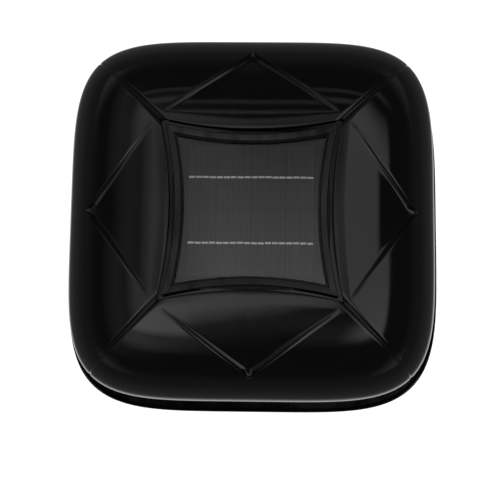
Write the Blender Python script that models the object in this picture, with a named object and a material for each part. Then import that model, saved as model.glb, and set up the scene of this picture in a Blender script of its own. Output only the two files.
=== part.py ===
"""A solar attic fan: a square moulded hood with a photovoltaic window, over a roof base with a
brushless fan motor in its throat. All sizes below are in millimetres; body() turns them into metres.
The origin is at the centre of the underside, +Z is up, and the four sides face along X and Y."""

import math

import bmesh
import bpy
from mathutils import Matrix, Vector

METRES = 0.001
GAP = 0.3            # clearance between pieces that touch on the real object
SIDE_STEPS = 14      # outline points along one side of a rounded square; even, so that one is mid-side

# Base and roof seal
BASE_HALF = 190.5    # a 381 mm (15 in) square base
BASE_POWER = 4.6     # how square the rounded outline is
GASKET_HALF = 184.0
GASKET_WIDTH = 24.0
GASKET_THICK = 3.0
BASE_THICK = 2.5
RIM_HEIGHT = 6.0
THROAT_RADIUS = 120.0
THROAT_WALL = 2.5
THROAT_TOP = 46.0
MOUTH_FLARE = 5.0
EAR_RADIUS = 129.0   # from the fan's axis to each bracket ear
EAR_SIZE = 8.0
ROOF_HOLE_PLACE = 150.0
ROOF_HOLE_SPREAD = 55.0
ROOF_HOLE_RADIUS = 2.75

# Hood
HOOD_HALF = 180.5
HOOD_POWER = 4.8
LIP_TOP = 63.0       # height where the hood is widest
LIP_BOTTOM = 56.0
CROWN = 116.0        # height of the edge around the window recess
ROLL_POWER = 2.5     # larger keeps the sides flatter before they roll over
HOOD_WALL = 3.0
RECESS_CORNER = 87.7
RECESS_MID = 77.2    # the recess edge bows inwards between its corners
ARROW_TIP = 156.5    # from the axis to the tip of the arrow pressed into each side
ARROW_SLOPE = 0.765
ARROW_DEPTH = 5.0
ARROW_RISER = 2.5
LEDGE_CORNER = 66.0
LEDGE_MID = 58.0
LEDGE_BOTTOM = 103.0
LEDGE_TOP = 105.7
POST_PLACE = 122.0
POST_RADIUS = 8.0
POST_BORE = 2.8
POST_TOP = 96.0
BOSS_RADIUS = 7.0
BOSS_TOP = 108.4
BOLT_RADIUS = 2.2
BOLT_END = 104.0

# Photovoltaic window
BEZEL_CORNER = 83.4
BEZEL_MID = 72.8     # which leaves a groove of 4.4 mm between bezel and hood
BEZEL_OUTER_TOP = 115.0
BEZEL_INNER_TOP = 113.4
WINDOW_CORNER = 71.8
WINDOW_MID = 64.2
BEZEL_SCREW_PLACE = 78.0
BEZEL_BOSS_RADIUS = 3.2
GLASS_HALF = 75.8
GLASS_CHAMFER = 6.0
GLASS_THICK = 3.0
SEAL_THICK = 1.0
CELLS_IN_ROW = 18
CELL_PITCH = 6.65
CELL_WIDTH = 6.25
CELL_LENGTH = 62.5
ROW_PITCH = 63.8
CELL_THICK = 0.3
RIBBON_WIDTH = 2.0
RIBBON_THICK = 0.25
BACKSHEET_THICK = 0.5
JUNCTION_PLACE = 24.0
JUNCTION_LENGTH = 56.0
JUNCTION_WIDTH = 44.0
JUNCTION_HEIGHT = 9.7
JUNCTION_WALL = 2.0
LID_THICK = 1.7

# Outlet screen
SCREEN_HALF = 172.0
SCREEN_POWER = 4.7
SCREEN_THICK = 1.2
SCREEN_TOP = 60.0
SCREEN_BARS = 24
SCREEN_RAIL = 3.0
SCREEN_BAR_SHARE = 0.2   # of the pitch from bar to bar

# Motor bracket
BUSH_THICK = 4.0
BUSH_RADIUS = 6.5
BRACKET_THICK = 2.0
BRACKET_PLATE_RADIUS = 34.0
BRACKET_ARM_WIDTH = 15.0
BRACKET_BORE = 14.6
MOTOR_SCREW_PLACE = 22.0

# Motor and bearings
MOTOR_RADIUS = 32.0
MOTOR_TOP = 92.0
CAN_WALL = 2.0
END_PLATE_THICK = 4.0
END_BOSS_RADIUS = 14.0
END_BOSS_DEPTH = 8.0
SHAFT_RADIUS = 3.9
SHAFT_BOTTOM = 14.5
SHAFT_TOP = 88.5
BEARING_OUTER = 11.0
BEARING_WIDTH = 7.0
BEARING_PITCH_RADIUS = 7.5
BALL_RADIUS = 1.75   # a little under the real 1.98, to clear the faceted races
BALLS = 7
LOWER_BEARING = 47.4
UPPER_BEARING = 82.2
STATOR_BOTTOM = 62.0
STATOR_TOP = 80.0
STATOR_OUTER = 29.6
STATOR_YOKE = 25.0
STATOR_BORE = 15.5
TEETH = 6
TOOTH_HALF_WIDTH = 3.0
MAGNET_OUTER = 14.6
MAGNET_INNER = 9.0
BOARD_HEIGHT = 84.3

# Impeller
HUB_RADIUS = 22.0
HUB_BOTTOM = 19.0
HUB_TOP = 42.0
BLADE_TIP = 116.0
BLADES = 5
BLADE_MIDDLE = 30.0
BLADE_THICK = 2.2

BASE_BOTTOM = GASKET_THICK + GAP
BASE_FLOOR = BASE_BOTTOM + BASE_THICK
BRACKET_BOTTOM = THROAT_TOP + GAP + BUSH_THICK + GAP
BRACKET_TOP = BRACKET_BOTTOM + BRACKET_THICK
END_PLATE_BOTTOM = BRACKET_TOP + GAP
END_PLATE_TOP = END_PLATE_BOTTOM + END_PLATE_THICK
BACKSHEET_BOTTOM = LEDGE_TOP + GAP
CELL_BOTTOM = BACKSHEET_BOTTOM + BACKSHEET_THICK + GAP
CELL_TOP = CELL_BOTTOM + CELL_THICK
GLASS_BOTTOM = CELL_TOP + RIBBON_THICK + GAP
GLASS_TOP = GLASS_BOTTOM + GLASS_THICK
SEAL_BOTTOM = GLASS_TOP + GAP
SEAL_TOP = SEAL_BOTTOM + SEAL_THICK
BEZEL_BOTTOM = SEAL_TOP + GAP
CORNERS = [(-1, -1), (1, -1), (1, 1), (-1, 1)]


def linear(channel):
    return channel / 12.92 if channel <= 0.04045 else ((channel + 0.055) / 1.055) ** 2.4


def finish(name, colour, roughness, metallic=0.0):
    """A plain finish, from an sRGB colour such as 1a1a1c."""
    found = bpy.data.materials.get(name)
    if found:
        return found
    made = bpy.data.materials.new(name)
    made.use_nodes = True
    shader = made.node_tree.nodes["Principled BSDF"]
    channels = [int(colour[i : i + 2], 16) / 255 for i in (0, 2, 4)]
    shader.inputs["Base Color"].default_value = [linear(c) for c in channels] + [1.0]
    shader.inputs["Roughness"].default_value = roughness
    shader.inputs["Metallic"].default_value = metallic
    return made


def body(name, mesh, material, smooth=30.0):
    """The object made of a mesh drawn in millimetres, with its faces turned outwards."""
    bmesh.ops.remove_doubles(mesh, verts=mesh.verts, dist=0.001)
    bmesh.ops.recalc_face_normals(mesh, faces=mesh.faces)
    bmesh.ops.scale(mesh, vec=(METRES, METRES, METRES), verts=mesh.verts)
    data = bpy.data.meshes.new(name)
    mesh.to_mesh(data)
    mesh.free()
    data.shade_smooth()
    data.set_sharp_from_angle(angle=math.radians(smooth))
    made = bpy.data.objects.new(name, data)
    bpy.context.scene.collection.objects.link(made)
    made.data.materials.append(material)
    return made


def helper(made):
    """Marks an object that only shapes another one."""
    made.hide_render = True
    made.display_type = "WIRE"
    return made


def boolean(target, operation, *operands):
    for operand in operands:
        modifier = target.modifiers.new(operation.title(), "BOOLEAN")
        modifier.operation = operation
        modifier.object = helper(operand)
    return target


def outline(point_at):
    """One closed row of (x, y): point_at(t) gives (x, distance) on a side for t from -1 to 1, and the side
    is turned about the axis four times."""
    row = []
    for quarter in range(4):
        turn = Matrix.Rotation(math.radians(90 * quarter), 2)
        for step in range(SIDE_STEPS):
            x, distance = point_at(-1 + 2 * step / SIDE_STEPS)
            row.append(turn @ Vector((x, -distance)))
    return row


def rounded_square(half, power):
    def point_at(t):
        distance = half / (1 + abs(t) ** power) ** (1 / power)
        return t * distance, distance

    return outline(point_at)


def bowed_square(corner, middle):
    """A square whose sides bow inwards from the corners to the middle."""
    return outline(lambda t: (corner * t, middle + (corner - middle) * t * t))


def chamfered_square(half, chamfer):
    row = []
    for x, y in CORNERS:
        along = [(x * half, y * (half - chamfer)), (x * (half - chamfer), y * half)]
        row += along if x * y > 0 else along[::-1]
    return row


def circle(radius):
    return outline(lambda t: (radius * t / math.hypot(1, t), radius / math.hypot(1, t)))


def at_height(row, z):
    return [(point[0], point[1], z) for point in row]


def join_rows(mesh, row, after):
    for i in range(len(row)):
        j = (i + 1) % len(row)
        mesh.faces.new((row[i], row[j], after[j], after[i]))


def band(name, rows, material):
    """A closed ring-shaped body from closed rows of points, the last row joined to the first."""
    mesh = bmesh.new()
    made = [[mesh.verts.new(point) for point in row] for row in rows]
    for row, after in zip(made, made[1:] + made[:1]):
        join_rows(mesh, row, after)
    return body(name, mesh, material)


def loft(name, rows, material):
    """A body from closed rows of points, with a flat face on the first and the last."""
    mesh = bmesh.new()
    made = [[mesh.verts.new(point) for point in row] for row in rows]
    for row, after in zip(made, made[1:]):
        join_rows(mesh, row, after)
    mesh.faces.new(made[0])
    mesh.faces.new(made[-1])
    return body(name, mesh, material)


def block(name, centre, size, material):
    mesh = bmesh.new()
    bmesh.ops.create_cube(mesh, size=1.0)
    bmesh.ops.scale(mesh, vec=size, verts=mesh.verts)
    bmesh.ops.translate(mesh, vec=centre, verts=mesh.verts)
    return body(name, mesh, material)


def turned(name, profile, material, place=(0, 0, 0), steps=24, closed=True):
    """A body turned about the vertical axis through place. The profile is (radius, height) points: a closed
    ring, or with closed=False a line that starts and ends on the axis."""
    mesh = bmesh.new()
    points = [mesh.verts.new((radius, 0, z)) for radius, z in profile]
    ends = points[1:] + points[:1] if closed else points[1:]
    edges = [mesh.edges.new(pair) for pair in zip(points, ends)]
    bmesh.ops.spin(
        mesh,
        geom=points + edges,
        cent=(0, 0, 0),
        axis=(0, 0, 1),
        angle=math.tau,
        steps=steps,
    )
    bmesh.ops.translate(mesh, vec=place, verts=mesh.verts)
    return body(name, mesh, material)


def rod(name, radius, bottom, top, material, place=(0, 0), steps=16):
    profile = [(0, bottom), (radius, bottom), (radius, top), (0, top)]
    return turned(name, profile, material, (*place, 0), steps, closed=False)


def tube(name, outer, inner, bottom, top, material, place=(0, 0), steps=24):
    profile = [(inner, bottom), (outer, bottom), (outer, top), (inner, top)]
    return turned(name, profile, material, (*place, 0), steps)


def screw(name, place, head, shank, material, steps=12):
    """A pan-head screw: head and shank are (radius, from height, to height), from the head's free face on."""
    profile = [
        (0, head[1]),
        (head[0], head[1]),
        (head[0], head[2]),
        (shank[0], head[2]),
        (shank[0], shank[2]),
        (0, shank[2]),
    ]
    return turned(name, profile, material, (*place, 0), steps, closed=False)


def merged(name, pieces):
    """Separate helper shapes as one helper mesh, for a single cut."""
    mesh = bmesh.new()
    for piece in pieces:
        mesh.from_mesh(piece.data)
        bpy.data.objects.remove(piece)
    data = bpy.data.meshes.new(name)
    mesh.to_mesh(data)
    mesh.free()
    made = bpy.data.objects.new(name, data)
    bpy.context.scene.collection.objects.link(made)
    return helper(made)


def base_parts(plastic, foam):
    outer = rounded_square(GASKET_HALF, BASE_POWER)
    inner = rounded_square(GASKET_HALF - GASKET_WIDTH, BASE_POWER)
    corners = [(outer, 0), (outer, GASKET_THICK), (inner, GASKET_THICK), (inner, 0)]
    band("roof_gasket", [at_height(line, z) for line, z in corners], foam)

    rim = rounded_square(BASE_HALF, BASE_POWER)
    rim_inside = rounded_square(BASE_HALF - BASE_THICK, BASE_POWER)
    throat = circle(THROAT_RADIUS)
    throat_outside = circle(THROAT_RADIUS + THROAT_WALL)
    mouth = circle(THROAT_RADIUS + MOUTH_FLARE)
    base = band(
        "base_flange",
        [
            at_height(rim, BASE_BOTTOM),
            at_height(rim, BASE_BOTTOM + RIM_HEIGHT),
            at_height(rim_inside, BASE_BOTTOM + RIM_HEIGHT),
            at_height(rim_inside, BASE_FLOOR),
            at_height(throat_outside, BASE_FLOOR),
            at_height(throat_outside, THROAT_TOP),
            at_height(throat, THROAT_TOP),
            at_height(throat, BASE_BOTTOM + 2 * MOUTH_FLARE),
            at_height(mouth, BASE_BOTTOM),
        ],
        plastic,
    )
    ears = []
    holes = []
    for quarter in range(4):
        angle = math.radians(90 * quarter)
        place = (EAR_RADIUS * math.cos(angle), EAR_RADIUS * math.sin(angle))
        ears.append(rod("ear", EAR_SIZE, THROAT_TOP - 12, THROAT_TOP, plastic, place, 12))
        holes.append(rod("hole", 1.9, THROAT_TOP - 9, THROAT_TOP + 5, plastic, place, 8))
        for spread in (-ROOF_HOLE_SPREAD, ROOF_HOLE_SPREAD):
            across = Vector((-math.sin(angle), math.cos(angle))) * spread
            out = Vector((math.cos(angle), math.sin(angle))) * ROOF_HOLE_PLACE
            holes.append(rod("hole", ROOF_HOLE_RADIUS, -5, BASE_FLOOR + 5, plastic, across + out, 8))
    for x, y in CORNERS:
        holes.append(rod("hole", POST_BORE, -5, BASE_FLOOR + 5, plastic, (x * POST_PLACE, y * POST_PLACE), 8))
    boolean(base, "UNION", merged("ears", ears))
    boolean(base, "DIFFERENCE", merged("base_holes", holes))


def hood_point(t, s, half, crown, grown=0.0):
    """(x, distance, height) on a side of the hood: t runs across it, s from the recess to the lip."""
    corner = RECESS_CORNER + grown
    middle = RECESS_MID + grown
    start = Vector((corner * t, middle + (corner - middle) * t * t))
    reach = half / (1 + abs(t) ** HOOD_POWER) ** (1 / HOOD_POWER)
    end = Vector((t * reach, reach))
    flat = start.lerp(end, s)
    return flat.x, flat.y, LIP_TOP + (crown - LIP_TOP) * math.sqrt(1 - s**ROLL_POWER)


def arrow_reach(t, half):
    """How far along s the arrow's edge lies, and how far along s one millimetre is."""
    x0, y0, _ = hood_point(t, 0, half, CROWN)
    x1, y1, _ = hood_point(t, 1, half, CROWN)
    x0, x1 = abs(x0), abs(x1)
    reach = (ARROW_TIP - ARROW_SLOPE * x0 - y0) / ((y1 - y0) + ARROW_SLOPE * (x1 - x0))
    return max(reach, 0.06), 1 / math.hypot(x1 - x0, y1 - y0)


def hood_row(half, crown, grown, part, past, toe=False):
    """A row of the hood's skin: part is the share of the way to the arrow's edge, past the share from there
    to the lip. The pressed-in side of the arrow ends at its toe."""
    row = []
    for quarter in range(4):
        turn = Matrix.Rotation(math.radians(90 * quarter), 2)
        for step in range(SIDE_STEPS):
            t = -1 + 2 * step / SIDE_STEPS
            reach, millimetre = arrow_reach(t, half)
            s = reach * part + (1 - reach) * past
            if toe:
                s = max(reach - ARROW_RISER * millimetre, 0.5 * reach)
            x, distance, z = hood_point(t, s, half, crown, grown)
            tip_reach, _ = arrow_reach(0, half)
            if past == 0 and (toe or part < 1):
                z -= ARROW_DEPTH * (reach - 0.06) / (tip_reach - 0.06) * (s / reach) ** 1.5
            flat = turn @ Vector((x, -distance))
            row.append((flat.x, flat.y, z))
    return row


def hood_parts(plastic, steel):
    recess = bowed_square(RECESS_CORNER, RECESS_MID)
    behind = bowed_square(RECESS_CORNER + HOOD_WALL, RECESS_MID + HOOD_WALL)
    ledge = bowed_square(LEDGE_CORNER, LEDGE_MID)
    skirt = rounded_square(HOOD_HALF - 0.5, HOOD_POWER)
    skirt_inside = rounded_square(HOOD_HALF - HOOD_WALL, HOOD_POWER)
    inner_half = HOOD_HALF - HOOD_WALL
    inner_crown = CROWN - HOOD_WALL
    hood = band(
        "hood_shell",
        [
            hood_row(HOOD_HALF, CROWN, 0, 0, 0),
            hood_row(HOOD_HALF, CROWN, 0, 0.55, 0),
            hood_row(HOOD_HALF, CROWN, 0, 1, 0, toe=True),
            hood_row(HOOD_HALF, CROWN, 0, 1, 0),
            hood_row(HOOD_HALF, CROWN, 0, 1, 0.35),
            hood_row(HOOD_HALF, CROWN, 0, 1, 0.62),
            hood_row(HOOD_HALF, CROWN, 0, 1, 0.84),
            hood_row(HOOD_HALF, CROWN, 0, 1, 0.96),
            hood_row(HOOD_HALF, CROWN, 0, 1, 1),
            at_height(skirt, LIP_BOTTOM),
            at_height(skirt_inside, LIP_BOTTOM),
            hood_row(inner_half, inner_crown, HOOD_WALL, 1, 1),
            hood_row(inner_half, inner_crown, HOOD_WALL, 1, 0.9),
            hood_row(inner_half, inner_crown, HOOD_WALL, 1, 0.62),
            hood_row(inner_half, inner_crown, HOOD_WALL, 1, 0.2),
            hood_row(inner_half, inner_crown, HOOD_WALL, 1, 0, toe=True),
            hood_row(inner_half, inner_crown, HOOD_WALL, 0.45, 0),
            at_height(behind, inner_crown),
            at_height(behind, LEDGE_BOTTOM),
            at_height(ledge, LEDGE_BOTTOM),
            at_height(ledge, LEDGE_TOP),
            at_height(recess, LEDGE_TOP),
        ],
        plastic,
    )
    bosses = []
    holes = []
    for number, (x, y) in enumerate(CORNERS, 1):
        place = (x * POST_PLACE, y * POST_PLACE)
        bosses.append(rod("boss", BOSS_RADIUS, POST_TOP + GAP, BOSS_TOP, plastic, place, 12))
        holes.append(rod("hole", BOLT_RADIUS + 0.3, POST_TOP - 5, BOLT_END + 1, plastic, place, 8))
        corner = (x * BEZEL_SCREW_PLACE, y * BEZEL_SCREW_PLACE)
        holes.append(rod("hole", 2.0, LEDGE_BOTTOM - 5, LEDGE_TOP + 5, plastic, corner, 8))
        tube(f"hood_post_{number}", POST_RADIUS, POST_BORE, BASE_FLOOR + GAP, POST_TOP, plastic, place, 16)
        head = (4.5, 0.5, BASE_BOTTOM - GAP)
        screw(f"hood_bolt_{number}", place, head, (BOLT_RADIUS, head[2], BOLT_END), steel)
    boolean(hood, "UNION", merged("bosses", bosses))
    boolean(hood, "DIFFERENCE", merged("hood_holes", holes))


def screen_part(steel):
    """A ring of bars between three rails, one closed body with rows of windows."""
    heights = [BASE_FLOOR + GAP, 0, 0, 0, 0, SCREEN_TOP]
    middle = (heights[0] + SCREEN_TOP) / 2
    heights[1] = heights[0] + SCREEN_RAIL
    heights[2] = middle - SCREEN_RAIL / 2
    heights[3] = middle + SCREEN_RAIL / 2
    heights[4] = SCREEN_TOP - SCREEN_RAIL
    columns = 2 * SCREEN_BARS

    def point(half, column, z):
        """Even columns start a bar and odd ones end it."""
        quarter, step = divmod(column, columns // 4)
        share = SCREEN_BAR_SHARE if step % 2 else 0.0
        t = -1 + 2 * (step // 2 + share) / (SCREEN_BARS // 4)
        reach = half / (1 + abs(t) ** SCREEN_POWER) ** (1 / SCREEN_POWER)
        flat = Matrix.Rotation(math.radians(90 * quarter), 2) @ Vector((t * reach, -reach))
        return flat.x, flat.y, z

    mesh = bmesh.new()
    skins = []
    for half in (SCREEN_HALF, SCREEN_HALF - SCREEN_THICK):
        skins.append([[mesh.verts.new(point(half, c, z)) for c in range(columns)] for z in heights])

    def filled(level, column):
        return level in (0, 2, 4) or (level in (1, 3) and column % 2 == 0)

    def corners(skin, level, column):
        after = (column + 1) % columns
        low, high = skin[level], skin[level + 1]
        return low[column], low[after], high[after], high[column]

    for level in range(5):
        for column in range(columns):
            if not filled(level, column):
                continue
            outer = corners(skins[0], level, column)
            inner = corners(skins[1], level, column)
            mesh.faces.new(outer)
            mesh.faces.new(inner[::-1])
            beside = [
                (level - 1, column, 0),
                (level, (column + 1) % columns, 1),
                (level + 1, column, 2),
                (level, (column - 1) % columns, 3),
            ]
            for next_level, next_column, edge in beside:
                if 0 <= next_level < 5 and filled(next_level, next_column):
                    continue
                a, b = edge, (edge + 1) % 4
                mesh.faces.new((outer[b], outer[a], inner[a], inner[b]))
    body("outlet_screen", mesh, steel)


def window_parts(plastic, glass, rubber, silicon, backing, steel):
    outside = bowed_square(BEZEL_CORNER, BEZEL_MID)
    window = bowed_square(WINDOW_CORNER, WINDOW_MID)
    bezel = band(
        "panel_bezel",
        [
            at_height(outside, BEZEL_BOTTOM),
            at_height(outside, BEZEL_OUTER_TOP),
            at_height(window, BEZEL_INNER_TOP),
            at_height(window, BEZEL_BOTTOM),
        ],
        plastic,
    )
    bosses = []
    holes = []
    for number, (x, y) in enumerate(CORNERS, 1):
        place = (x * BEZEL_SCREW_PLACE, y * BEZEL_SCREW_PLACE)
        bosses.append(rod("boss", BEZEL_BOSS_RADIUS, LEDGE_TOP + GAP, BEZEL_BOTTOM + 0.8, plastic, place, 10))
        holes.append(rod("hole", 1.8, LEDGE_TOP - 3, BEZEL_BOTTOM, plastic, place, 8))
        head = (3.5, LEDGE_BOTTOM - 2.8, LEDGE_BOTTOM - GAP)
        screw(f"bezel_screw_{number}", place, head, (1.5, head[2], BEZEL_BOTTOM - 1), steel, 10)
    boolean(bezel, "UNION", merged("bezel_bosses", bosses))
    boolean(bezel, "DIFFERENCE", merged("bezel_holes", holes))

    pane = chamfered_square(GLASS_HALF, GLASS_CHAMFER)
    loft("window_glass", [at_height(pane, GLASS_BOTTOM), at_height(pane, GLASS_TOP)], glass)
    sheet_top = BACKSHEET_BOTTOM + BACKSHEET_THICK
    loft("panel_backsheet", [at_height(pane, BACKSHEET_BOTTOM), at_height(pane, sheet_top)], backing)
    seal_outside = bowed_square(GLASS_HALF - GLASS_CHAMFER / 3, GLASS_HALF)
    seal_inside = bowed_square(WINDOW_CORNER + 0.7, WINDOW_MID + 1.8)
    band(
        "window_seal",
        [
            at_height(seal_outside, SEAL_BOTTOM),
            at_height(seal_outside, SEAL_TOP),
            at_height(seal_inside, SEAL_TOP),
            at_height(seal_inside, SEAL_BOTTOM),
        ],
        rubber,
    )

    for name, side in (("cell_string_upper", 1), ("cell_string_lower", -1)):
        y = side * ROW_PITCH / 2
        cells = []
        for number in range(CELLS_IN_ROW):
            x = (number - (CELLS_IN_ROW - 1) / 2) * CELL_PITCH
            size = (CELL_WIDTH, CELL_LENGTH, CELL_THICK)
            cells.append(block("cell", (x, y, CELL_BOTTOM + CELL_THICK / 2), size, silicon))
        length = CELLS_IN_ROW * CELL_PITCH
        ribbon = (length, RIBBON_WIDTH, RIBBON_THICK + 0.1)
        string = block(name, (0, y, CELL_TOP + RIBBON_THICK / 2 - 0.05), ribbon, silicon)
        boolean(string, "UNION", merged(name + "_cells", cells))


def junction_parts(plastic):
    bottom = BACKSHEET_BOTTOM - GAP - JUNCTION_HEIGHT
    middle = bottom + JUNCTION_HEIGHT / 2
    size = (JUNCTION_LENGTH, JUNCTION_WIDTH, JUNCTION_HEIGHT)
    box = block("junction_box", (JUNCTION_PLACE, 0, middle), size, plastic)
    hollow_size = [side - 2 * JUNCTION_WALL for side in size[:2]] + [JUNCTION_HEIGHT]
    hollow = block("junction_hollow", (JUNCTION_PLACE, 0, middle - JUNCTION_WALL), hollow_size, plastic)
    entry = block(
        "junction_entry", (JUNCTION_PLACE + JUNCTION_LENGTH / 2, 0, LEAD[0][2]), (10, 5.8, 5.8), plastic
    )
    boolean(box, "DIFFERENCE", hollow, entry)
    lid = (JUNCTION_LENGTH, JUNCTION_WIDTH, LID_THICK)
    block("junction_box_lid", (JUNCTION_PLACE, 0, bottom - GAP - LID_THICK / 2), lid, plastic)


def bracket_parts(steel, rubber):
    """The sheet-metal spider that carries the motor, on four rubber bushes."""
    plate = rod("motor_bracket", BRACKET_PLATE_RADIUS, BRACKET_BOTTOM, BRACKET_TOP, steel, steps=32)
    middle = (BRACKET_BOTTOM + BRACKET_TOP) / 2
    length = 2 * (EAR_RADIUS + EAR_SIZE)
    along = block("arm", (0, 0, middle), (length, BRACKET_ARM_WIDTH, BRACKET_THICK), steel)
    across = block("arm", (0, 0, middle), (BRACKET_ARM_WIDTH, length, BRACKET_THICK), steel)
    holes = [rod("hole", BRACKET_BORE, BRACKET_BOTTOM - 3, BRACKET_TOP + 3, steel, steps=24)]
    for side in (-1, 1):
        place = (side * MOTOR_SCREW_PLACE, 0)
        holes.append(rod("hole", 1.9, BRACKET_BOTTOM - 3, BRACKET_TOP + 3, steel, place, 8))
        head = (3.2, BRACKET_BOTTOM - 2.8, BRACKET_BOTTOM - GAP)
        name = "motor_screw_1" if side < 0 else "motor_screw_2"
        screw(name, place, head, (1.5, head[2], END_PLATE_TOP - 1), steel, 10)
    for quarter in range(4):
        angle = math.radians(90 * quarter)
        place = (EAR_RADIUS * math.cos(angle), EAR_RADIUS * math.sin(angle))
        holes.append(rod("hole", 2.2, BRACKET_BOTTOM - 3, BRACKET_TOP + 3, steel, place, 8))
        bottom = THROAT_TOP + GAP
        name = f"bracket_bush_{quarter + 1}"
        tube(name, BUSH_RADIUS, 2.2, bottom, bottom + BUSH_THICK, rubber, place, 12)
        head = (4.0, BRACKET_TOP + 3.0, BRACKET_TOP + GAP)
        screw(f"bracket_screw_{quarter + 1}", place, head, (1.6, head[2], THROAT_TOP - 8), steel, 10)
    boolean(plate, "UNION", along, across)
    boolean(plate, "DIFFERENCE", merged("bracket_holes", holes))


def bearing(where, bottom, steel, brass):
    """A deep-groove ball bearing of 8 x 22 x 7 mm: outer race, inner race, and the balls in their cage."""
    top = bottom + BEARING_WIDTH
    middle = (bottom + top) / 2
    clear = BALL_RADIUS + 0.4
    shoulder = 1.4
    groove = math.sqrt(clear**2 - shoulder**2)
    outer = [
        (BEARING_OUTER, bottom),
        (BEARING_OUTER, top),
        (BEARING_PITCH_RADIUS + shoulder, top),
        (BEARING_PITCH_RADIUS + shoulder, middle + groove),
        (BEARING_PITCH_RADIUS + clear, middle),
        (BEARING_PITCH_RADIUS + shoulder, middle - groove),
        (BEARING_PITCH_RADIUS + shoulder, bottom),
    ]
    inner = [
        (SHAFT_RADIUS + 0.25, bottom),
        (SHAFT_RADIUS + 0.25, top),
        (BEARING_PITCH_RADIUS - shoulder, top),
        (BEARING_PITCH_RADIUS - shoulder, middle + groove),
        (BEARING_PITCH_RADIUS - clear, middle),
        (BEARING_PITCH_RADIUS - shoulder, middle - groove),
        (BEARING_PITCH_RADIUS - shoulder, bottom),
    ]
    turned(f"{where}_bearing_outer_race", outer, steel, steps=18)
    turned(f"{where}_bearing_inner_race", inner, steel, steps=18)
    ring = (BEARING_PITCH_RADIUS + 0.6, BEARING_PITCH_RADIUS - 0.6, middle - 0.8, middle + 0.8)
    cage = tube(f"{where}_bearing_cage", *ring, brass)
    mesh = bmesh.new()
    for number in range(BALLS):
        angle = math.tau * number / BALLS
        spot = (BEARING_PITCH_RADIUS * math.cos(angle), BEARING_PITCH_RADIUS * math.sin(angle), middle)
        bmesh.ops.create_icosphere(mesh, subdivisions=1, radius=BALL_RADIUS, matrix=Matrix.Translation(spot))
    boolean(cage, "UNION", body(f"{where}_balls", mesh, brass))


def lying_rod(name, centre, radius, length, finished):
    """A round bar along X at the height where the motor lead ends."""
    mesh = bmesh.new()
    turn = Matrix.Translation((centre, 0, LEAD[-1][2])) @ Matrix.Rotation(math.radians(90), 4, "Y")
    sizes = {"radius1": radius, "radius2": radius, "depth": length}
    bmesh.ops.create_cone(mesh, cap_ends=True, segments=12, matrix=turn, **sizes)
    return body(name, mesh, finished)


def motor_parts(steel, aluminium, copper, dark, green, rubber):
    pocket = BEARING_OUTER + 0.3
    can = turned(
        "motor_can",
        [
            (0, MOTOR_TOP),
            (MOTOR_RADIUS, MOTOR_TOP),
            (MOTOR_RADIUS, END_PLATE_TOP + GAP),
            (MOTOR_RADIUS - CAN_WALL, END_PLATE_TOP + GAP),
            (MOTOR_RADIUS - CAN_WALL, MOTOR_TOP - CAN_WALL),
            (pocket + CAN_WALL, MOTOR_TOP - CAN_WALL),
            (pocket + CAN_WALL, UPPER_BEARING),
            (pocket, UPPER_BEARING),
            (pocket, MOTOR_TOP - CAN_WALL),
            (0, MOTOR_TOP - CAN_WALL),
        ],
        aluminium,
        steps=24,
        closed=False,
    )
    entry = block("lead_entry", (MOTOR_RADIUS, 0, LEAD[-1][2]), (8, 6.6, 6.6), steel)
    boolean(can, "DIFFERENCE", entry)

    boss_bottom = END_PLATE_BOTTOM - END_BOSS_DEPTH
    plate = turned(
        "motor_end_plate",
        [
            (MOTOR_RADIUS, END_PLATE_BOTTOM),
            (MOTOR_RADIUS, END_PLATE_TOP),
            (pocket, END_PLATE_TOP),
            (pocket, boss_bottom + 2.0),
            (8.0, boss_bottom + 2.0),
            (8.0, boss_bottom),
            (END_BOSS_RADIUS, boss_bottom),
            (END_BOSS_RADIUS, END_PLATE_BOTTOM),
        ],
        aluminium,
        steps=24,
    )
    holes = []
    for side in (-1, 1):
        place = (side * MOTOR_SCREW_PLACE, 0)
        holes.append(rod("hole", 1.9, END_PLATE_BOTTOM - 3, END_PLATE_TOP + 3, aluminium, place, 8))
    boolean(plate, "DIFFERENCE", merged("end_plate_holes", holes))

    bearing("lower", LOWER_BEARING, steel, copper)
    bearing("upper", UPPER_BEARING, steel, copper)
    stator_parts(dark, copper)
    tube("driver_board", 28.0, 16.0, BOARD_HEIGHT, BOARD_HEIGHT + 1.6, green)
    rod("motor_shaft", SHAFT_RADIUS, SHAFT_BOTTOM, SHAFT_TOP, steel)
    tube("rotor_core", MAGNET_INNER - GAP, SHAFT_RADIUS + 0.25, STATOR_BOTTOM - 2, STATOR_TOP + 1, steel)
    tube("magnet_ring", MAGNET_OUTER, MAGNET_INNER, STATOR_BOTTOM - 1, STATOR_TOP, dark)

    grommet = lying_rod("lead_grommet", MOTOR_RADIUS + GAP + 2, 5.0, 4.0, rubber)
    boolean(grommet, "UNION", lying_rod("grommet_neck", MOTOR_RADIUS - 1, 3.0, 6.0, rubber))


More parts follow.
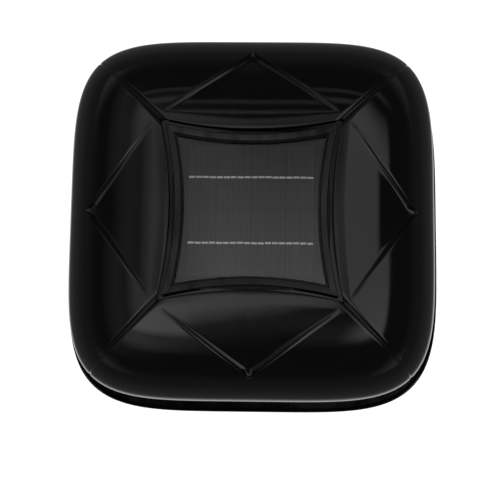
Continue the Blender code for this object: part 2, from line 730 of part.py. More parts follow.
def stator_parts(dark, copper):
    """A laminated core with six inward teeth, and a coil slipped over each tooth."""
    step_angle = math.tau / TEETH
    inner = []
    outer = []
    for tooth in range(TEETH):
        centre = tooth * step_angle
        at_yoke = math.asin(TOOTH_HALF_WIDTH / STATOR_YOKE)
        at_bore = math.asin(TOOTH_HALF_WIDTH / STATOR_BORE)
        corners = [
            (-at_yoke, STATOR_YOKE, -0.20),
            (-at_bore, STATOR_BORE, -0.08),
            (at_bore, STATOR_BORE, 0.08),
            (at_yoke, STATOR_YOKE, 0.20),
            (0.35 * step_angle, STATOR_YOKE, 0.35 * step_angle),
            (0.65 * step_angle, STATOR_YOKE, 0.65 * step_angle),
        ]
        for angle, radius, outer_angle in corners:
            inner.append((radius * math.cos(centre + angle), radius * math.sin(centre + angle)))
            a = centre + outer_angle
            outer.append((STATOR_OUTER * math.cos(a), STATOR_OUTER * math.sin(a)))
    rows = [
        at_height(outer, STATOR_BOTTOM),
        at_height(outer, STATOR_TOP),
        at_height(inner, STATOR_TOP),
        at_height(inner, STATOR_BOTTOM),
    ]
    band("stator_core", rows, dark)

    def loop(distance, half_width, low, high):
        corner = 1.2
        flat = [
            (-half_width + corner, low),
            (half_width - corner, low),
            (half_width, low + corner),
            (half_width, high - corner),
            (half_width - corner, high),
            (-half_width + corner, high),
            (-half_width, high - corner),
            (-half_width, low + corner),
        ]
        return [Vector((distance, across, z)) for across, z in flat]

    near, far = STATOR_BORE + 1.5, STATOR_YOKE - 2.6
    hole = (TOOTH_HALF_WIDTH + 1.5, STATOR_BOTTOM - 1.5, STATOR_TOP + 1.5)
    skin = (TOOTH_HALF_WIDTH + 4.0, STATOR_BOTTOM - 3.6, STATOR_TOP + 3.6)
    for tooth in range(TEETH):
        turn = Matrix.Rotation(tooth * step_angle, 3, "Z")
        rows = [loop(near, *skin), loop(far, *skin), loop(far, *hole), loop(near, *hole)]
        band(f"stator_coil_{tooth + 1}", [[turn @ point for point in row] for row in rows], copper)


def blade_row(radius, chord, pitch):
    """The closed section of a blade at one radius: a thin arched plate, wrapped round the axis."""
    arch = 0.07 * chord
    upper = []
    lower = []
    steps = 5
    for step in range(steps + 1):
        u = step / steps - 0.5
        lift = arch * (1 - 4 * u * u)
        thick = BLADE_THICK * (0.35 + 0.65 * (1 - 4 * u * u) ** 0.5) / 2
        for side, row in ((1, upper), (-1, lower)):
            along = u * chord
            normal = lift + side * thick
            across = along * math.cos(pitch) - normal * math.sin(pitch)
            height = along * math.sin(pitch) + normal * math.cos(pitch)
            angle = across / radius
            row.append((radius * math.cos(angle), radius * math.sin(angle), BLADE_MIDDLE + height))
    return upper + lower[::-1]


def impeller_parts(plastic, steel):
    bore = SHAFT_RADIUS + 0.25
    hub = turned(
        "impeller",
        [
            (bore, HUB_BOTTOM),
            (8.0, HUB_BOTTOM),
            (8.0, HUB_TOP - 3),
            (HUB_RADIUS - 2.5, HUB_TOP - 3),
            (HUB_RADIUS - 2.5, HUB_BOTTOM),
            (HUB_RADIUS, HUB_BOTTOM),
            (HUB_RADIUS, HUB_TOP - 2),
            (HUB_RADIUS - 2, HUB_TOP),
            (bore, HUB_TOP),
        ],
        plastic,
        steps=30,
    )
    root = HUB_RADIUS - 1.3
    sections = []
    spans = 3
    for span in range(spans + 1):
        share = span / spans
        radius = root + (BLADE_TIP - root) * share
        chord = 34 + 46 * math.sin(share * math.radians(80))
        pitch = math.radians(34 - 17 * share)
        sections.append(blade_row(radius, chord, pitch))
    blades = []
    for number in range(BLADES):
        turn = Matrix.Rotation(math.tau * number / BLADES, 3, "Z")
        rows = [[turn @ Vector(point) for point in row] for row in sections]
        blades.append(loft("blade", rows, plastic))
    boolean(hub, "UNION", merged("blades", blades))

    nut_bottom = SHAFT_BOTTOM + 0.5
    nut_bore = bore / math.cos(math.radians(30))
    tube("impeller_nut", 7.0, nut_bore, nut_bottom, HUB_BOTTOM - GAP, steel, steps=6)


# The motor lead's route, from inside the junction box to the face of the grommet on the motor can.
LEAD = [
    (50.8, 0, 99.2),
    (58.0, 0, 99.2),
    (64.5, 0, 97.6),
    (67.5, 0, 93.2),
    (64.5, 0, 88.6),
    (57.0, 0, 86.8),
    (47.0, 0, 86.8),
    (36.7, 0, 86.8),
]
LEAD_RADIUS = 2.4


def lead_part(rubber):
    """The two-core lead, a tube along a smooth curve through its route."""
    points = []
    for index in range(len(LEAD) - 1):
        before, start, end, after = (
            Vector(LEAD[max(0, min(len(LEAD) - 1, index + offset))]) for offset in (-1, 0, 1, 2)
        )
        for step in range(3):
            share = step / 3
            bend = (2 * start) + (end - before) * share
            bend += (2 * before - 5 * start + 4 * end - after) * share**2
            bend += (3 * start - before - 3 * end + after) * share**3
            points.append(bend / 2)
    points.append(Vector(LEAD[-1]))
    curve = bpy.data.curves.new("motor_lead", "CURVE")
    curve.dimensions = "3D"
    curve.bevel_depth = LEAD_RADIUS * METRES
    curve.bevel_resolution = 2
    curve.use_fill_caps = True
    spline = curve.splines.new("POLY")
    spline.points.add(len(points) - 1)
    for knot, point in zip(spline.points, points):
        knot.co = (*(point * METRES), 1.0)
    made = bpy.data.objects.new("motor_lead", curve)
    bpy.context.scene.collection.objects.link(made)
    made.data.materials.append(rubber)


def spin_about_axis(names, parent_name):
    """Hangs the pieces that turn together on an empty on the fan's axis."""
    axis = bpy.data.objects.new(parent_name, None)
    bpy.context.scene.collection.objects.link(axis)
    for name in names:
        bpy.data.objects[name].parent = axis


def main():
    for old in list(bpy.data.objects):
        bpy.data.objects.remove(old)
    black = finish("black_plastic", "1a1a1c", 0.15)
    grey = finish("moulded_plastic", "2c2d2f", 0.5)
    foam = finish("foam", "33332f", 0.95)
    rubber = finish("rubber", "1c1c1c", 0.8)
    glass = finish("glass", "3a3c40", 0.05)
    silicon = finish("silicon", "22252c", 0.25, 0.2)
    backing = finish("backsheet", "2a2b2e", 0.4)
    galvanised = finish("galvanised_steel", "9a9ea2", 0.4, 1.0)
    bright = finish("bright_steel", "b4b6b8", 0.25, 1.0)
    aluminium = finish("cast_aluminium", "a4a6a8", 0.45, 1.0)
    copper = finish("copper", "b06a3c", 0.35, 1.0)
    dark = finish("dark_steel", "3a3b3e", 0.5, 0.8)
    green = finish("circuit_board", "1f5a34", 0.5)

    base_parts(black, foam)
    screen_part(galvanised)
    hood_parts(black, bright)
    window_parts(black, glass, rubber, silicon, backing, bright)
    junction_parts(grey)
    bracket_parts(galvanised, rubber)
    motor_parts(bright, aluminium, copper, dark, green, rubber)
    impeller_parts(grey, bright)
    lead_part(rubber)
    spin_about_axis(
        [
            "impeller",
            "impeller_nut",
            "motor_shaft",
            "rotor_core",
            "magnet_ring",
            "lower_bearing_inner_race",
            "upper_bearing_inner_race",
        ],
        "rotor_axis",
    )
    spin_about_axis(["lower_bearing_cage"], "lower_cage_axis")
    spin_about_axis(["upper_bearing_cage"], "upper_cage_axis")


main()
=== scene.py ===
"""The looks of a solar attic fan: a glossy black moulded hood with a photovoltaic window, over a roof base
with a fan in its throat. Lengths below are millimetres in the CAD frame; MM turns them into metres."""

import math
import random

import bmesh
import bpy
import numpy as np
from mathutils import Matrix, Vector


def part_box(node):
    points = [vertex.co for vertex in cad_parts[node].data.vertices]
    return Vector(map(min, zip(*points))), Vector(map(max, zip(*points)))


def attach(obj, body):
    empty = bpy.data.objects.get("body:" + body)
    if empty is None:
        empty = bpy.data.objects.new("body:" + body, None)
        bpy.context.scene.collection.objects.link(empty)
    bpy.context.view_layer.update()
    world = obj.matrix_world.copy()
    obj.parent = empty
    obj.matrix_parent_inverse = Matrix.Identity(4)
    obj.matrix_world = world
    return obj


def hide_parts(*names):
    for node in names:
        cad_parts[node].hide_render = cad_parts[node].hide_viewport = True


MM = 0.001
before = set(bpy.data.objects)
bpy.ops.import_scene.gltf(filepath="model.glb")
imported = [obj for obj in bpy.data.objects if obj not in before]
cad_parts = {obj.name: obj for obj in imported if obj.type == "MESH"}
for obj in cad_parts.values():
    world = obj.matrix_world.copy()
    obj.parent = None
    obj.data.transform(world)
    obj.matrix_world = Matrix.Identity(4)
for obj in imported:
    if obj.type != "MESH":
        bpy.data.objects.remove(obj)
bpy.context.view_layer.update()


def box_mm(node):
    """A CAD node's lowest and highest corners in millimetres."""
    low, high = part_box(node)
    return [value / MM for value in low], [value / MM for value in high]


# The hood, read from its CAD box and rebuilt finer on the same outlines
HOOD_LOW, HOOD_HIGH = box_mm("hood_shell")
HOOD_HALF, CROWN, LIP_BOTTOM = HOOD_HIGH[0], HOOD_HIGH[2], HOOD_LOW[2]
HOOD_POWER = 4.8
LIP_TOP = LIP_BOTTOM + 7.0
ROLL_POWER = 2.5
HOOD_WALL = 3.0
HOOD_FOOT = 1.4  # radius under the lip
RECESS = (87.7, 77.2)  # corner and mid-side distance of the window recess
EDGE_RADIUS = 1.5
ARROW_TIP, ARROW_SLOPE, ARROW_DEPTH = 156.5, 0.765, 5.6
ARROW_ROUND = 0.03
ARROW_START = 0.12  # share of the way out at which the arrow begins to press in
RISER_WIDTH, RISER_GROWTH = 0.7, 6.6  # where nothing is pressed in, and what the full depth adds
TIP_HALF, TIP_FADE, TIP_LEAN = 1.5, 5.0, 3.0  # the leaning tip's half width, its fade and its lean
HIP_DEPTH, HIP_DEPTH_LOW = 2.1, 0.45  # of the groove, what fades towards the lip and what stays
HIP_WIDTH, HIP_WIDTH_LOW = 1.5, 0.9
HIP_NOTCH = 0.004  # share by which the groove draws in the lip
LEDGE = (66.0, 58.0)
LEDGE_BOTTOM, LEDGE_TOP = 103.0, 105.7

# The window
BEZEL_HALF, _, BEZEL_TOP = box_mm("panel_bezel")[1]
BEZEL = (BEZEL_HALF, 72.8)
WINDOW = (71.8, 64.2)
BEZEL_BOTTOM = box_mm("window_seal")[1][2] + 0.3
BEZEL_INNER_TOP = 113.4
CELL_LOW, CELL_HIGH = box_mm("cell_string_upper")
CELLS = 18
CELL_WIDTH, CELL_THICKNESS = 6.25, 0.25
RIBBON_HALF, RIBBON_WANDER = 1.0, 0.22
RIBBON_GAP, RIBBON_RAGGED = 0.15, 0.35  # least gap between two ribbon ends, and what chance adds

# The base and the outlet screen
BASE_LOW, BASE_HIGH = box_mm("base_flange")
BASE_HALF, BASE_POWER = BASE_HIGH[0], 4.6
BASE_FLOOR, BASE_RIM = 2.5, 6.0
THROAT, BELL_WIDTH, BELL_HEIGHT = 120.0, 5.0, 10.0
BOLT_HOLE, BOLT_HOLE_RADIUS = 122.0, 2.8
ROOF_HOLE_OUT, ROOF_HOLE_ASIDE, ROOF_HOLE_RADIUS = 150.0, 55.0, 2.75
EAR_CIRCLE = 129.0
SCREEN_LOW, SCREEN_HIGH = box_mm("outlet_screen")
SCREEN_POWER = 4.7
RAIL_HALF_WIDTH, RAIL_HALF_HEIGHT = 0.6, 1.5
MESH_PITCH, WIRE_HALF = 6.35, 0.32
CORNERS = [(-1, -1), (1, -1), (1, 1), (-1, 1)]
QUARTERS = (0, 90, 180, 270)

# The impeller, its blades' middle height, and the top of the bosses inside the hood
BLADES, BLADE_ROOT, BLADE_TIP = 5, 20.7, 116.0
BLADE_HEIGHT, BLADE_THICKNESS = 30.0, 2.4
BOSS_TOP = 104.6

FLOOR_GLOW = 1.0
draw = random.Random(7)


# ---------------------------------------------------------------- materials


def colour(code):
    """An sRGB hex colour as linear red, green, blue and alpha."""
    channels = [int(code[i : i + 2], 16) / 255 for i in (0, 2, 4)]
    return [c / 12.92 if c <= 0.04045 else ((c + 0.055) / 1.055) ** 2.4 for c in channels] + [1.0]


LEVEL_BANDS = {"wave_type": "BANDS", "bands_direction": "Z"}


def add_node(tree, kind, inputs=None, **settings):
    """Adds one node with its settings. Each input gets a constant or another node's output."""
    made = tree.nodes.new(kind)
    for name, value in settings.items():
        setattr(made, name, value)
    for name, value in (inputs or {}).items():
        if isinstance(value, bpy.types.NodeSocket):
            tree.links.new(value, made.inputs[name])
        else:
            made.inputs[name].default_value = value
    return made


def new_material(name, **values):
    """A material with its Principled shader's constant values, and the object coordinates to draw with."""
    made = bpy.data.materials.new(name)
    made.use_nodes = True
    tree = made.node_tree
    shader = tree.nodes["Principled BSDF"]
    for key, value in values.items():
        shader.inputs[key.replace("_", " ")].default_value = value
    place = add_node(tree, "ShaderNodeTexCoord").outputs["Object"]
    return made, tree, shader, place


def span(start, end, low=0.0, high=1.0):
    """The constants that map start..end to low..high."""
    return {"From Min": start, "From Max": end, "To Min": low, "To Max": high}


def blotches(tree, place, size_mm, detail, stretch=(1, 1, 1)):
    """Cloudy blotches about size_mm across, and longer along an axis that stretch has under 1."""
    mapped = add_node(tree, "ShaderNodeMapping", {"Vector": place, "Scale": stretch}).outputs[0]
    inputs = {"Vector": mapped, "Scale": 1 / (size_mm * MM), "Detail": detail, "Roughness": 0.55}
    return add_node(tree, "ShaderNodeTexNoise", inputs).outputs[0]


def tint(tree, shader, pattern, first, second, start=0.3, end=0.7):
    """Colours the surface from the first tone to the second as the pattern goes from start to end."""
    share = add_node(tree, "ShaderNodeMapRange", {"Value": pattern, **span(start, end)}).outputs[0]
    tones = {0: share, 6: colour(first), 7: colour(second)}
    tinted = add_node(tree, "ShaderNodeMix", tones, data_type="RGBA").outputs[2]
    tree.links.new(tinted, shader.inputs["Base Color"])
    return tinted


def roughen(tree, shader, pattern, low, high, start=0.3, end=0.7):
    """Takes the roughness from low to high as the pattern goes from start to end."""
    made = add_node(tree, "ShaderNodeMapRange", {"Value": pattern, **span(start, end, low, high)})
    tree.links.new(made.outputs[0], shader.inputs["Roughness"])


def emboss(tree, shader, pattern, depth_mm, strength=1.0, over=None):
    """Gives the surface the pattern's relief, on top of another relief if there is one."""
    inputs = {"Height": pattern, "Distance": depth_mm * MM, "Strength": strength}
    if over:
        inputs["Normal"] = over
    relief = add_node(tree, "ShaderNodeBump", inputs).outputs[0]
    tree.links.new(relief, shader.inputs["Normal"])
    return relief


def moulded_abs(name, code, worn, roughness, orange_peel):
    """Injection-moulded ABS: black, glossy or satin as its mould was polished, with slow waves from
    cooling, faint orange peel, and fine handling marks that only show as a change of gloss."""
    made, tree, shader, place = new_material(name, IOR=1.53)
    cloudy = blotches(tree, place, 70, detail=2)
    streaks = blotches(tree, place, 9, detail=4, stretch=(1, 0.12, 1))
    tint(tree, shader, cloudy, code, worn)
    marks = add_node(tree, "ShaderNodeMath", {0: cloudy, 1: streaks}, operation="MULTIPLY")
    roughen(tree, shader, marks.outputs[0], roughness * 0.6, roughness * 1.9, 0.12, 0.42)
    slow = emboss(tree, shader, blotches(tree, place, 42, detail=1), 0.22, 0.35)
    emboss(tree, shader, blotches(tree, place, 2.6, detail=2), 0.02, orange_peel, over=slow)
    return made


def glass_filled_nylon():
    """Moulded nylon with glass fibre: satin dark grey with a fine fibrous grain."""
    made, tree, shader, place = new_material("glass_filled_nylon", IOR=1.53)
    grain = blotches(tree, place, 1.1, detail=4, stretch=(1, 0.35, 1))
    tint(tree, shader, grain, "26272a", "34363a")
    roughen(tree, shader, grain, 0.34, 0.52)
    emboss(tree, shader, grain, 0.05, 0.5)
    return made


def tempered_glass():
    """Tempered glass with an anti-reflective coating, which lowers its IOR: a quiet gloss over the cells,
    with a faint trace of dust."""
    made, tree, shader, place = new_material("tempered_glass", IOR=1.42, Transmission_Weight=1.0)
    shader.inputs["Base Color"].default_value = colour("f8f8f8")
    dust = blotches(tree, place, 26, detail=5)
    roughen(tree, shader, dust, 0.0, 0.05, 0.45, 0.75)
    return made


def coated_silicon():
    """Crystalline silicon under an anti-reflective coating: near black, with the cell's silver fingers as
    paler hairlines across the ribbon. They are drawn three to a cell, which is coarse enough to show."""
    made, tree, shader, place = new_material("coated_silicon", IOR=1.5)
    across = add_node(tree, "ShaderNodeSeparateXYZ", {"Vector": place}).outputs["X"]
    turns_per_metre = math.tau / (CELL_WIDTH / 3 * MM)
    phase = add_node(tree, "ShaderNodeMath", {0: across, 1: turns_per_metre}, operation="MULTIPLY")
    wave = add_node(tree, "ShaderNodeMath", {0: phase.outputs[0]}, operation="COSINE").outputs[0]
    finger = add_node(tree, "ShaderNodeMapRange", {"Value": wave, **span(0.55, 0.98)}).outputs[0]
    grains = blotches(tree, place, 2.2, detail=3, stretch=(1, 0.06, 1))
    silicon = tint(tree, shader, grains, "161618", "2a2a2d")
    tones = {0: finger, 6: silicon, 7: colour("505052")}
    fingered = add_node(tree, "ShaderNodeMix", tones, data_type="RGBA").outputs[2]
    tree.links.new(fingered, shader.inputs["Base Color"])
    roughen(tree, shader, grains, 0.32, 0.45)
    emboss(tree, shader, finger, 0.01, 0.4)
    return made


def tinned_ribbon():
    """Tin-plated copper ribbon: bright, with soft solder ripples along it."""
    made, tree, shader, place = new_material("tinned_ribbon", Metallic=1.0)
    ripple = blotches(tree, place, 1.6, detail=3, stretch=(1, 1.5, 1))
    tint(tree, shader, ripple, "b9bab8", "e6e6e2")
    roughen(tree, shader, ripple, 0.24, 0.42)
    emboss(tree, shader, ripple, 0.12, 0.8)
    return made


def laminate_backing():
    """The dark backing film seen round the cells: a satin grey with a faint weave."""
    made, tree, shader, place = new_material("laminate_backing", IOR=1.45)
    weave = blotches(tree, place, 1.2, detail=2)
    blotch = blotches(tree, place, 22, detail=3)
    tint(tree, shader, blotch, "1e1e1f", "29292a")
    roughen(tree, shader, weave, 0.3, 0.45)
    emboss(tree, shader, weave, 0.03, 0.5)
    return made


def zinc_steel(name, spangle_mm, dark, light, low, high):
    """Zinc-coated steel: a grey metal broken into soft spangles of unequal gloss."""
    made, tree, shader, place = new_material(name, Metallic=1.0)
    spangles = add_node(tree, "ShaderNodeTexVoronoi", {"Vector": place, "Scale": 1 / (spangle_mm * MM)})
    tone = add_node(tree, "ShaderNodeSeparateColor", {0: spangles.outputs["Color"]}).outputs[0]
    tint(tree, shader, tone, dark, light, 0, 1)
    roughen(tree, shader, tone, low, high, 0, 1)
    emboss(tree, shader, blotches(tree, place, spangle_mm / 3, detail=4), 0.02, 0.6)
    return made


def bright_steel():
    """Machined or rolled steel: fine turning marks round the vertical axis."""
    made, tree, shader, place = new_material("bright_steel", Metallic=1.0)
    marks = blotches(tree, place, 0.5, detail=3, stretch=(0.15, 0.15, 1))
    tint(tree, shader, marks, "8f9192", "b9babb")
    roughen(tree, shader, marks, 0.2, 0.38)
    emboss(tree, shader, marks, 0.01, 0.5)
    return made


def cast_aluminium():
    """Die-cast aluminium, bead blasted: an even, slightly sparkling grey."""
    made, tree, shader, place = new_material("cast_aluminium", Metallic=1.0)
    beads = blotches(tree, place, 0.9, detail=5)
    stain = blotches(tree, place, 14, detail=3)
    tint(tree, shader, stain, "8b8d90", "a7a9ab")
    roughen(tree, shader, stain, 0.42, 0.56)
    emboss(tree, shader, beads, 0.06, 0.6)
    return made


def moulded_rubber():
    """Moulded rubber: dull black with a grey bloom."""
    made, tree, shader, place = new_material("moulded_rubber", IOR=1.52)
    bloom = blotches(tree, place, 6, detail=4)
    tint(tree, shader, bloom, "121212", "212120")
    roughen(tree, shader, bloom, 0.6, 0.85)
    emboss(tree, shader, blotches(tree, place, 0.7, detail=2), 0.03, 0.5)
    return made


def closed_cell_foam():
    """Closed-cell foam tape: matt charcoal, pitted by its skinned bubbles, with painted shade in the pits.
    """
    made, tree, shader, place = new_material("closed_cell_foam", IOR=1.4, Roughness=0.95)
    bubbles = add_node(tree, "ShaderNodeTexVoronoi", {"Vector": place, "Scale": 1 / (1.4 * MM)})
    pit_depth_and_shade = bubbles.outputs["Distance"]
    # darker at the bottom of each pit: painted shade in the bubble pits
    tint(tree, shader, pit_depth_and_shade, "171716", "31312e", 0, 0.6)
    emboss(tree, shader, pit_depth_and_shade, 0.3, 0.8)
    return made


def enamelled_copper():
    """Wound magnet wire: dark amber enamel on copper, ridged turn by turn, with painted shade and sheen."""
    made, tree, shader, place = new_material("enamelled_copper", Metallic=1.0, Coat_Weight=0.6)
    inputs = {"Vector": place, "Scale": 1 / (0.55 * MM) / math.tau, "Distortion": 0.6}
    turns = add_node(tree, "ShaderNodeTexWave", inputs, **LEVEL_BANDS).outputs[0]
    # the tint is painted shade in the grooves between turns and a painted sheen on their crests
    tint(tree, shader, turns, "6e3413", "c5763a", 0, 1)
    roughen(tree, shader, turns, 0.3, 0.42)
    emboss(tree, shader, turns, 0.25)
    return made


def stacked_laminations():
    """Electrical steel sheets in a stack: dark, ruled edge to edge by the sheets."""
    made, tree, shader, place = new_material("stacked_laminations", Metallic=1.0)
    inputs = {"Vector": place, "Scale": 1 / (0.8 * MM) / math.tau}
    sheets = add_node(tree, "ShaderNodeTexWave", inputs, **LEVEL_BANDS).outputs[0]
    tint(tree, shader, sheets, "2b2c2f", "6c6e71", 0, 1)
    roughen(tree, shader, sheets, 0.35, 0.6)
    emboss(tree, shader, sheets, 0.1, 0.8)
    return made


def solder_mask():
    """A circuit board's green solder mask over faintly raised tracks."""
    made, tree, shader, place = new_material("solder_mask", IOR=1.5, Roughness=0.3)
    inputs = {"Vector": place, "Scale": 1 / (3.0 * MM)}
    tracks = add_node(tree, "ShaderNodeTexVoronoi", inputs, distance="CHEBYCHEV").outputs["Distance"]
    tint(tree, shader, tracks, "174a2b", "226b3c", 0.3, 0.4)
    emboss(tree, shader, tracks, 0.05, 0.5)
    return made


def pale_floor():
    """A plain white sweep that glows a little, as a lit table does."""
    made, tree, shader, place = new_material("pale_floor", Roughness=0.7, Emission_Strength=FLOOR_GLOW)
    tint(tree, shader, blotches(tree, place, 300, detail=2), "f4f4f4", "f8f8f8", 0, 1)
    shader.inputs["Emission Color"].default_value = colour("ffffff")
    return made


# ---------------------------------------------------------------- modelling


def finish_piece(made, material, smooth=35.0):
    """Gives a new piece its finish and its smooth shading."""
    made.data.materials.clear()
    made.data.materials.append(material)
    bpy.ops.object.select_all(action="DESELECT")
    made.select_set(True)
    bpy.context.view_layer.objects.active = made
    bpy.ops.object.shade_smooth_by_angle(angle=math.radians(smooth))
    made.select_set(False)
    return made


def skin(name, grid, material, smooth=35.0):
    """A closed ring-shaped shell from an array of rows of points: every row closes on itself, and the last
    row closes on the first."""
    rows, columns, _ = grid.shape
    row = np.arange(rows)[:, None]
    column = np.arange(columns)[None, :]
    after_row, after_column = (row + 1) % rows, (column + 1) % columns
    faces = np.stack(
        [
            row * columns + column,
            row * columns + after_column,
            after_row * columns + after_column,
            after_row * columns + column,
        ],
        axis=-1,
    ).reshape(-1, 4)
    data = bpy.data.meshes.new(name)
    data.from_pydata((grid.reshape(-1, 3) * MM).tolist(), [], faces.tolist())
    mesh = bmesh.new()
    mesh.from_mesh(data)
    bmesh.ops.remove_doubles(mesh, verts=mesh.verts, dist=1e-7)
    bmesh.ops.recalc_face_normals(mesh, faces=mesh.faces)
    mesh.to_mesh(data)
    mesh.free()
    made = bpy.data.objects.new(name, data)
    bpy.context.scene.collection.objects.link(made)
    return finish_piece(made, material, smooth)


def side_shares(count, crowd):
    """Shares from -1 to 1 across one side, crowded towards its ends."""
    u = np.arange(count) / count
    return (1 - crowd) * (2 * u - 1) - crowd * np.cos(math.pi * u)


def turn_round(x, distance, z):
    """Points of one side, turned about the axis four times into whole rows."""
    sides = []
    for cosine, sine in ((1, 0), (0, 1), (-1, 0), (0, -1)):
        sides.append(np.stack([cosine * x + sine * distance, sine * x - cosine * distance, z], axis=-1))
    return np.concatenate(sides, axis=1)


def rounded_row(shares, half, power):
    """One side of a rounded square, as each point's place along the side and its distance from the axis."""
    distance = half / (1 + np.abs(shares) ** power) ** (1 / power)
    return shares * distance, distance


def bowed_row(shares, corner, middle):
    """One side that bows inwards from its corners to its middle."""
    return corner * shares, middle + (corner - middle) * shares**2


def circle_row(shares, radius):
    """A quarter of a circle, as one side."""
    reach = radius / np.hypot(1, shares)
    return shares * reach, reach


def stack_rows(rows):
    """Rows of (x, distance, z) of one side as one array of whole closed rows."""
    full = [turn_round(x[None, :], d[None, :], np.broadcast_to(z, x.shape)[None, :]) for x, d, z in rows]
    return np.concatenate(full, axis=0)


# ---------------------------------------------------------------- hood


def hood_side(shares, s, half, crown, grown):
    """Plan position and height of the hood's skin at the shares s from the recess to the lip."""
    x0, d0 = bowed_row(shares, RECESS[0] + grown, RECESS[1] + grown)
    x1, d1 = rounded_row(shares, half, HOOD_POWER)
    roll = np.sqrt(np.clip(1 - s**ROLL_POWER, 0, 1))
    return x0 + (x1 - x0) * s, d0 + (d1 - d0) * s, LIP_TOP + (crown - LIP_TOP) * roll


def arrow_reach(shares, half):
    """How far out the arrow's edge crosses each line from recess to lip, and the share of it in 1 mm."""
    softened = np.sqrt(shares**2 + ARROW_ROUND**2) - ARROW_ROUND
    x0, d0 = bowed_row(softened, *RECESS)
    x1, d1 = rounded_row(softened, half, HOOD_POWER)
    reach = (ARROW_TIP - ARROW_SLOPE * x0 - d0) / ((d1 - d0) + ARROW_SLOPE * (x1 - x0))
    return np.maximum(reach, 0.05), 1 / np.hypot(x1 - x0, d1 - d0)


ARROW_END = float(arrow_reach(np.array([0.0]), HOOD_HALF)[0][0])


def pressed_depth(s):
    """The arrow's face sinks below the hood's own curve from recess to tip."""
    return ARROW_DEPTH * np.clip((s - ARROW_START) / (ARROW_END - ARROW_START), 0, 1) ** 1.1


def arrow_line(shares, half):
    """Where the arrow's riser starts and ends on each line. At the very tip it leans back a little."""
    reach, millimetre = arrow_reach(shares, half)
    beside = np.clip((np.abs(shares) * ARROW_TIP - TIP_HALF) / TIP_FADE, 0, 1)
    beside = beside * beside * (3 - 2 * beside)
    width = RISER_WIDTH + RISER_GROWTH * pressed_depth(reach) / ARROW_DEPTH
    toe = np.maximum(reach - width * millimetre, 0.5 * reach)
    return toe, reach + TIP_LEAN * (1 - beside) * millimetre, millimetre


# The arrow's riser from its toe to its edge: a shelf that catches the light, then a steep step
RISER_SHARE = [0.0, 0.04, 0.1, 0.2, 0.4, 0.58, 0.66, 0.72, 0.78, 0.86, 0.93, 0.97, 1.0]
RISER_HEIGHT = [0.0, 0.01, 0.04, 0.105, 0.24, 0.37, 0.44, 0.51, 0.62, 0.79, 0.93, 0.98, 1.0]


def hood_skin(shares, s, half, crown, grown, grooved):
    """One row of the hood with the arrow pressed in, the hip grooves cut and the recess edge rounded."""
    x, distance, z = hood_side(shares, s, half, crown, grown)
    toe, top, millimetre = arrow_line(shares, half)
    rise = np.interp(np.clip((s - toe) / (top - toe), 0, 1), RISER_SHARE, RISER_HEIGHT)
    z = z - pressed_depth(s) * (1 - rise)
    if grooved:
        from_hip = (distance - np.abs(x)) / math.sqrt(2)
        fade = 1 - s
        groove = np.exp(-((from_hip / (HIP_WIDTH * fade + HIP_WIDTH_LOW)) ** 2))
        z = z - (HIP_DEPTH * fade + HIP_DEPTH_LOW) * groove
        pull = 1 - HIP_NOTCH * groove * s**4
        x, distance = x * pull, distance * pull
        past_edge = np.clip(s / millimetre, 0, EDGE_RADIUS)
        z = z - (EDGE_RADIUS - np.sqrt(EDGE_RADIUS**2 - (EDGE_RADIUS - past_edge) ** 2))
    return x, distance, z


def make_hood(gloss):
    """The whole hood as one moulding: pillow sides, pressed arrows, hip grooves, rolled lip and the ledge
    that carries the window."""
    beside_tip = np.array([0.004, 0.012, 0.02, 0.027, 0.034, 0.042, 0.052])
    shares = np.unique(np.concatenate([side_shares(104, 0.62), -beside_tip, beside_tip]))
    toe, top, millimetre = arrow_line(shares, HOOD_HALF)
    edge = EDGE_RADIUS * millimetre
    outer = [edge * (1 - math.cos(math.radians(angle))) for angle in (0, 18, 36, 54, 72, 90)]
    face_rows, pillow_rows, inner_rows = 16, 44, 24
    outer += [edge + (toe - edge) * step / face_rows for step in range(1, face_rows + 1)]
    outer += [toe + (top - toe) * share for share in RISER_SHARE[1:]]
    outer += [top + (1 - top) * (1 - (1 - step / pillow_rows) ** 2) for step in range(1, pillow_rows + 1)]
    rows = [hood_skin(shares, s, HOOD_HALF, CROWN, 0, True) for s in outer]

    for angle in (0, 25, 50, 75, 90):
        inwards = HOOD_FOOT * (1 - math.cos(math.radians(angle)))
        x, distance = rounded_row(shares, HOOD_HALF - inwards, HOOD_POWER)
        rows.append((x, distance, LIP_BOTTOM + HOOD_FOOT * (1 - math.sin(math.radians(angle)))))
    inner_half, inner_crown = HOOD_HALF - HOOD_WALL, CROWN - HOOD_WALL
    x, distance = rounded_row(shares, inner_half, HOOD_POWER)
    rows.append((x, distance, LIP_BOTTOM))
    for step in range(inner_rows + 1):
        s = np.full_like(shares, 1 - (step / inner_rows) ** 1.6 * 0.98)
        rows.append(hood_skin(shares, s, inner_half, inner_crown, HOOD_WALL, False))
    behind = (RECESS[0] + HOOD_WALL, RECESS[1] + HOOD_WALL)
    for outline, z in (
        (behind, inner_crown - 0.5),
        (behind, LEDGE_BOTTOM),
        (LEDGE, LEDGE_BOTTOM),
        (LEDGE, LEDGE_TOP),
        (RECESS, LEDGE_TOP),
    ):
        rows.append((*bowed_row(shares, *outline), z))
    hood = skin("hood_moulding", stack_rows(rows), gloss, 50.0)
    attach(hood, "housing")
    return hood


